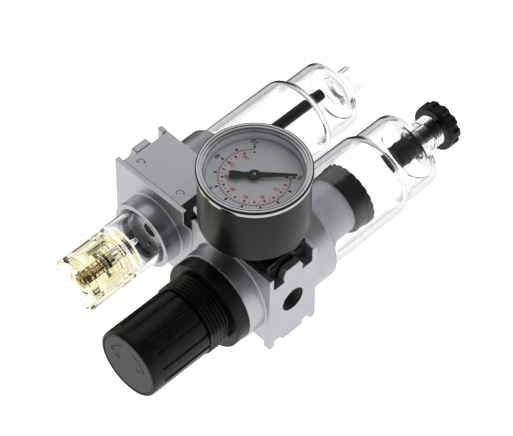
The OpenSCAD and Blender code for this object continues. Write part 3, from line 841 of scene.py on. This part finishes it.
def drain_grip():
    """Black drain knob with lobes round it."""
    count = 10
    phase = math.tau * 0.78 / count     # where the first notch stands
    lobes_z = DRAIN.z1 - 1.7
    screw_r, screw_z = 1.6, DRAIN.z0 + 2.4

    def lobes(a, r, z):
        if r < DRAIN.r - 1.2 or z > lobes_z:
            return r
        off = abs((a - phase + math.pi / count) % (math.tau / count) - math.pi / count) * r
        cut = max(0, 1.7 ** 2 - off ** 2) ** 0.5 - 0.9
        return r - max(0, cut) * min(1, (lobes_z - z) / 0.7) * 1.15
    outline = rounded([(0.0, DRAIN.z1), (DRAIN.r - 0.2, DRAIN.z1, 0.5), (DRAIN.r, DRAIN.z1 - 1.5)])
    outline += column(DRAIN.r, lobes_z, DRAIN.z1 - 2.6, 0.15)
    outline += rounded([(DRAIN.r, DRAIN.z1 - 3), (DRAIN.r, DRAIN.z0, 1.0), (screw_r, DRAIN.z0),
                        (screw_r, screw_z), (0.0, screw_z)])[1:]
    obj = lathe("drain_grip", outline, "z", (FX, 0, 0), segments=count * 24, relief=lobes,
                closed=False)
    attach(obj, "drain_knob", "black_plastic")


def drain_sleeve():
    """Black insert in the bowl's floor, with a collar round it."""
    box = span("drain_insert")
    bore_r, sleeve_r, collar_r = 2.65, 4.4, 4.7
    outline = [(bore_r, box.z0)]
    outline += rounded([(bore_r, box.z0), (sleeve_r, box.z0), (sleeve_r, -75.6, 0.1),
                        (collar_r, -75.4, 0.1), (collar_r, -74.8, 0.1), (sleeve_r, -74.6, 0.1),
                        (sleeve_r, box.z1, 0.35), (bore_r, box.z1, 0.2)])[1:]
    attach(lathe("insert_sleeve", outline, "z", (FX, 0, 0)), "drain_insert", "black_plastic")


# ---------- lubricator's top ----------

def sight_dome():
    """Clear dome with collar rings and a tapered nozzle inside."""
    wall_r, room_r = 10.75, 9.2
    neck_r, neck_bore, drip_r = 5.6, 3.0, 0.5
    outer = [(room_r, DOME.z0), (DOME.r, DOME.z0), (DOME.r, 18.7, 0.2), (10.95, 18.9, 0.1),
             (10.9, 19.3, 0.1), (wall_r, 19.6), (wall_r, 29.9, 1.4), (neck_r, 30.0, 0.5),
             (neck_r, DOME.z1, 0.3), (neck_bore, DOME.z1), (neck_bore, 35.4)]
    nozzle = [(1.6, 35.4), (1.6, 30.2), (drip_r, 29.6), (drip_r, 20.5), (0.9, 20.5, 0.1),
              (1.4, 24.0), (1.7, 28.2, 0.3), (room_r, 28.2, 0.9)]
    glass = lathe("sight_glass", rounded(outer + nozzle, steps=5), "z", (LX, 0, 0), segments=128,
                  sharp=45)
    attach(glass, "sight_dome", "clear_plastic")


def drip_cap():
    """Clear yellow cap with ribs, a lobed lower band and a recess round its screw."""
    count = 24
    band = DRIP.z0 + 4.4
    skirt_bore, skirt_z = 8.9, 44.0
    core_r, core_bore, core_z = 7.6, 5.95, 40.5
    rim_r, floor_z = 9.2, 46.4
    boss_r, boss_z = 5.0, 48.2
    screw_r, screw_z, stem_r = 2.95, 43.0, 1.75

    def ribs(a, r, z):
        if r < DRIP.r - 0.7:
            return r
        off = abs((a + math.pi / count) % (math.tau / count) - math.pi / count) * r
        half, deep = (0.35, 0.4) if z > band else (0.55, 0.6)
        return r - deep * min(1, max(0, (half + 0.15 - off) / 0.3))
    skirt = [(core_bore, DRIP.z0), (core_r, DRIP.z0), (core_r, skirt_z, 0.3),
             (skirt_bore, skirt_z, 0.3), (skirt_bore, DRIP.z0), (DRIP.r, DRIP.z0, 0.4),
             (DRIP.r, band, 0.3), (DRIP.r - 0.45, band + 0.4, 0.15),
             (DRIP.r - 0.1, band + 0.8, 0.2), (DRIP.r, DRIP.z1, 0.6)]
    end = [(rim_r + 0.1, DRIP.z1, 0.25), (rim_r, floor_z, 0.4), (boss_r, floor_z, 0.3),
           (boss_r, boss_z, 0.3), (screw_r, boss_z, 0.1), (screw_r, screw_z),
           (stem_r, screw_z), (stem_r, core_z), (core_bore, core_z, 0.3)]
    obj = lathe("drip_cap_clear", rounded(skirt + end, steps=4), "z", (LX, 0, 0),
                segments=count * 18, relief=ribs, sharp=45)
    attach(obj, "drip_cap", "amber_plastic")


# ---------- CAD nodes that stay ----------

def keep_cad_nodes():
    """The CAD shapes that stay get the finish of their slot."""
    hidden = {n for o in bpy.data.objects for n in o.get("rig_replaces", [])}
    for name, obj in NODES.items():
        if name not in hidden:
            obj.data.materials.clear()
            obj.data.materials.append(LOOKS[SLOT[name]])


# ---------- stage ----------

def world_light():
    """Soft white room: dim towards the front, with one dark patch, and white to the eye."""
    world = bpy.data.worlds.new("studio")
    bpy.context.scene.world = world
    world.use_nodes = True
    tree = world.node_tree
    background = tree.nodes["Background"]
    coords = tree.nodes.new("ShaderNodeTexCoord")
    split = tree.nodes.new("ShaderNodeSeparateXYZ")
    tree.links.new(coords.outputs["Generated"], split.inputs["Vector"])
    front = range_node(tree, split.outputs["Y"], (-0.6, 0.1), (0.12, 1.0), eased=True)
    toward = tree.nodes.new("ShaderNodeVectorMath")
    toward.operation = "DOT_PRODUCT"
    toward.inputs[1].default_value = Vector((0.62, 0.36, -0.62)).normalized()
    tree.links.new(coords.outputs["Generated"], toward.inputs[0])
    patch = range_node(tree, toward.outputs["Value"], (0.82, 0.93), (1.0, 0.05), eased=True)
    path = tree.nodes.new("ShaderNodeLightPath")
    seen = tree.nodes.new("ShaderNodeMix")
    seen.inputs["B"].default_value = 1.0
    tree.links.new(path.outputs["Is Camera Ray"], seen.inputs["Factor"])
    tree.links.new(math_node(tree, "MULTIPLY", front, patch), seen.inputs["A"])
    tree.links.new(seen.outputs["Result"], background.inputs["Strength"])
    background.inputs["Color"].default_value = (1, 1, 1, 1)


def area_light(name, place, target, size, power):
    """A rectangular lamp that looks at a target and is not seen itself."""
    lamp = bpy.data.lights.new(name, "AREA")
    lamp.shape = "RECTANGLE"
    lamp.size, lamp.size_y = size
    lamp.energy = power
    obj = new_object(name, lamp)
    obj.location = place
    obj.rotation_mode = "QUATERNION"
    obj.rotation_quaternion = (Vector(target) - Vector(place)).to_track_quat("-Z", "Y")
    obj.visible_camera = False


def floor():
    """Plain pale floor, well below the unit."""
    size, z = 6.0, cad_lo.z - 0.25
    mesh = bpy.data.meshes.new("floor")
    corners = [(-size, -size, z), (size, -size, z), (size, size, z), (-size, size, z)]
    mesh.from_pydata(corners, [], [(0, 1, 2, 3)])
    obj = new_object("floor", mesh)
    look = material("floor_white", (0.93, 0.93, 0.93), 0.9, mottle=0.01, patch=60, grain=4,
                    bump=0.05, depth=0.1)
    shader = look.node_tree.nodes["Principled BSDF"]
    shader.inputs["Emission Color"].default_value = (1, 1, 1, 1)
    shader.inputs["Emission Strength"].default_value = 0.55
    mesh.materials.append(look)
    obj.visible_glossy = False


def camera():
    """The camera at the photograph's viewing angle."""
    azimuth, elevation, roll = math.radians(29.903), math.radians(26.585), math.radians(127.35)
    target, distance = Vector((3.66, -54.21, 14.72)) * MM, 1.0
    focal_length, sensor = 210.526316, 36.0
    ahead = Vector((math.sin(azimuth) * math.cos(elevation),
                    math.cos(azimuth) * math.cos(elevation), -math.sin(elevation)))
    level = ahead.cross(Vector((0, 0, 1))).normalized()
    up = math.cos(roll) * level.cross(ahead) + math.sin(roll) * level
    lens = bpy.data.cameras.new("camera")
    lens.sensor_width = sensor
    lens.lens = focal_length
    lens.clip_start, lens.clip_end = 0.05, 20
    obj = new_object("camera", lens)
    side = ahead.cross(up)
    turn = Matrix((side, up, -ahead)).transposed().to_4x4()
    obj.matrix_world = Matrix.Translation(target - ahead * distance) @ turn
    bpy.context.scene.camera = obj


knob_piece()
knob_end()
bonnet_piece()
housings()
front_pieces()
gauge_shell()
gauge_ring()
gauge_face()
dial_scales()
pointer_piece()
neck_piece()
louvre_piece()
filter_bowl()
oil_bowl()
drain_grip()
drain_sleeve()
sight_dome()
drip_cap()
keep_cad_nodes()
world_light()
floor()
camera()
area_light("soft_box", place=(0.55, -0.95, -0.52), target=(0.03, 0, 0), size=(0.8, 0.8),
           power=1.5)
bpy.context.scene.view_settings.view_transform = "Standard"

bpy.context.view_layer.update()
